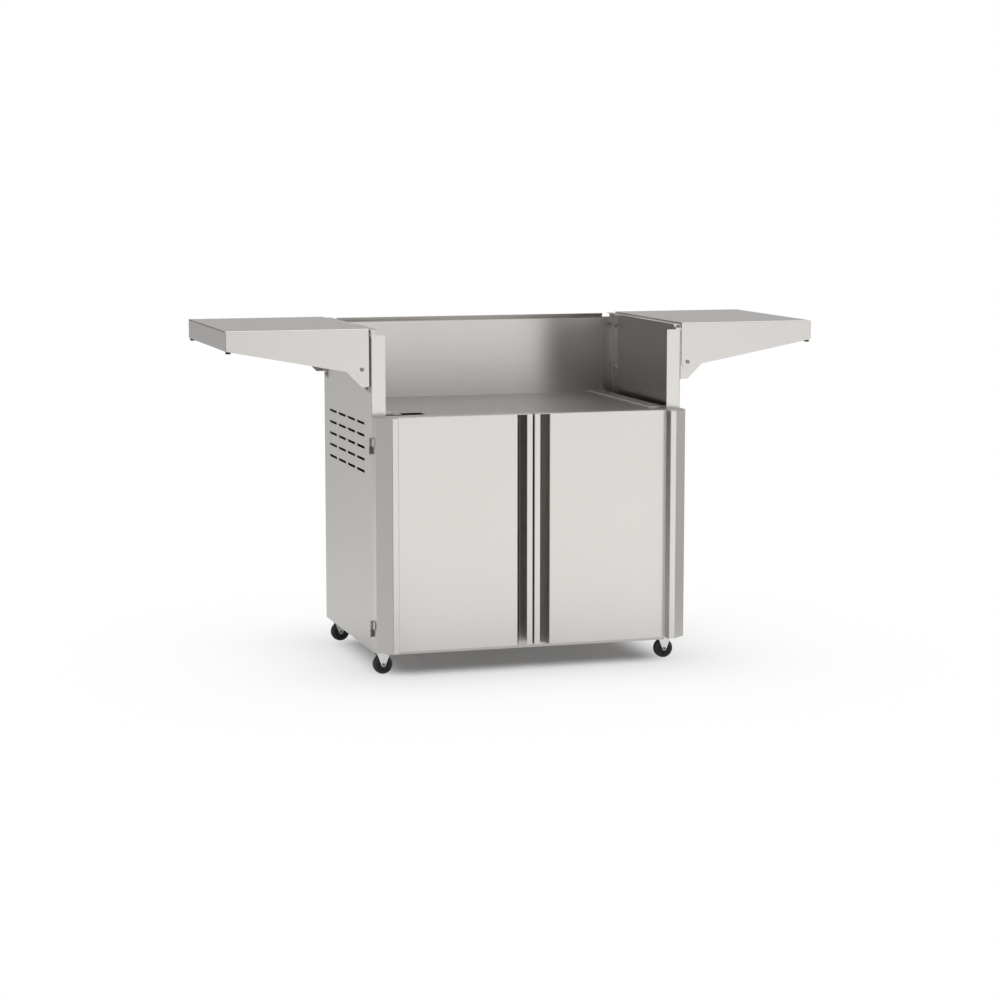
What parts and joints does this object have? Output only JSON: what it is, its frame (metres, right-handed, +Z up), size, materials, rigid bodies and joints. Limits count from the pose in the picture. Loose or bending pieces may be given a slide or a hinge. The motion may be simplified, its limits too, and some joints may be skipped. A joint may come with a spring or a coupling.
{
  "type": "grill cart",
  "caption": "Freestanding stainless cart for a drop-in grill: vented cabinet with hinged doors, folding side shelves, open deck and casters.",
  "frame": {"origin": "on the floor, under the middle of the whole cart with both shelves raised", "axes": "+X to the right seen from the front, +Y from the doors to the back panel, +Z up"},
  "size_m": [1.591, 0.611, 0.9],
  "materials": {
    "stainless": "brushed",
    "zinc_plate": "bright zinc",
    "tyre": "matte",
    "black_plastic": "matte",
    "bumper_rubber": "matte"
  },
  "bodies": {
    "cart": {"back_panel": "stainless", "bracket_bolts": "zinc_plate", "cabinet_floor": "stainless", "caster_bolts": "zinc_plate", "deck": "stainless", "front_left_caster_plate": "zinc_plate", "front_right_caster_plate": "zinc_plate", "left_catch": "black_plastic", "left_corner_angle": "stainless", "left_deck_rail": "stainless", "left_front_bracket": "stainless", "left_hinge_bases": "zinc_plate", "left_pivot_bolts": "zinc_plate", "left_rear_bracket": "stainless", "left_side_panel": "stainless", "rear_left_caster_plate": "zinc_plate", "rear_right_caster_plate": "zinc_plate", "right_catch": "black_plastic", "right_corner_angle": "stainless", "right_deck_rail": "stainless", "right_front_bracket": "stainless", "right_hinge_bases": "zinc_plate", "right_pivot_bolts": "zinc_plate", "right_rear_bracket": "stainless", "right_side_panel": "stainless"},
    "left_door": {"left_door_skin": "stainless", "left_door_cap": "stainless", "left_door_pan": "stainless", "left_hinge_leaves": "zinc_plate", "left_strike": "zinc_plate"},
    "left_shelf": {"left_shelf": "stainless", "left_shelf_bumpers": "bumper_rubber"},
    "right_door": {"right_door_skin": "stainless", "right_door_cap": "stainless", "right_door_pan": "stainless", "right_hinge_leaves": "zinc_plate", "right_strike": "zinc_plate"},
    "right_shelf": {"right_shelf": "stainless", "right_shelf_bumpers": "bumper_rubber"},
    "front_left_fork": {"front_left_caster_fork": "zinc_plate", "front_left_caster_axle": "zinc_plate"},
    "front_left_wheel": {"front_left_wheel_hub": "black_plastic", "front_left_wheel_tyre": "tyre"},
    "front_right_fork": {"front_right_caster_fork": "zinc_plate", "front_right_caster_axle": "zinc_plate"},
    "front_right_wheel": {"front_right_wheel_hub": "black_plastic", "front_right_wheel_tyre": "tyre"},
    "rear_left_fork": {"rear_left_caster_fork": "zinc_plate", "rear_left_caster_axle": "zinc_plate"},
    "rear_left_wheel": {"rear_left_wheel_hub": "black_plastic", "rear_left_wheel_tyre": "tyre"},
    "rear_right_fork": {"rear_right_caster_fork": "zinc_plate", "rear_right_caster_axle": "zinc_plate"},
    "rear_right_wheel": {"rear_right_wheel_hub": "black_plastic", "rear_right_wheel_tyre": "tyre"}
  },
  "joints": [
    {"name": "left_door_hinge", "type": "hinge", "parent": "cart", "child": "left_door", "pos_m": [-0.4241, -0.23325, 0.3725], "axis": [0, 0, -1], "range_deg": [0, 95]},
    {"name": "right_door_hinge", "type": "hinge", "parent": "cart", "child": "right_door", "pos_m": [0.4241, -0.23325, 0.3725], "axis": [0, 0, 1], "range_deg": [0, 95]},
    {"name": "left_shelf_fold", "type": "hinge", "parent": "cart", "child": "left_shelf", "pos_m": [-0.443, 0.03675, 0.7964], "axis": [0, -1, 0], "range_deg": [0, 101]},
    {"name": "right_shelf_fold", "type": "hinge", "parent": "cart", "child": "right_shelf", "pos_m": [0.443, 0.03675, 0.7964], "axis": [0, 1, 0], "range_deg": [0, 101]},
    {"name": "front_left_swivel", "type": "hinge", "parent": "cart", "child": "front_left_fork", "pos_m": [-0.3885, -0.2038, 0.0575], "axis": [0, 0, 1], "continuous": true},
    {"name": "front_left_roll", "type": "hinge", "parent": "front_left_fork", "child": "front_left_wheel", "pos_m": [-0.3885, -0.2038, 0.0254], "axis": [0, 1, 0], "continuous": true},
    {"name": "front_right_swivel", "type": "hinge", "parent": "cart", "child": "front_right_fork", "pos_m": [0.3885, -0.2038, 0.0575], "axis": [0, 0, 1], "continuous": true},
    {"name": "front_right_roll", "type": "hinge", "parent": "front_right_fork", "child": "front_right_wheel", "pos_m": [0.3885, -0.2038, 0.0254], "axis": [0, 1, 0], "continuous": true},
    {"name": "rear_left_swivel", "type": "hinge", "parent": "cart", "child": "rear_left_fork", "pos_m": [-0.3885, 0.28, 0.0575], "axis": [0, 0, 1], "continuous": true},
    {"name": "rear_left_roll", "type": "hinge", "parent": "rear_left_fork", "child": "rear_left_wheel", "pos_m": [-0.3885, 0.28, 0.0254], "axis": [0, 1, 0], "continuous": true},
    {"name": "rear_right_swivel", "type": "hinge", "parent": "cart", "child": "rear_right_fork", "pos_m": [0.3885, 0.28, 0.0575], "axis": [0, 0, 1], "continuous": true},
    {"name": "rear_right_roll", "type": "hinge", "parent": "rear_right_fork", "child": "rear_right_wheel", "pos_m": [0.3885, 0.28, 0.0254], "axis": [0, 1, 0], "continuous": true}
  ]
}
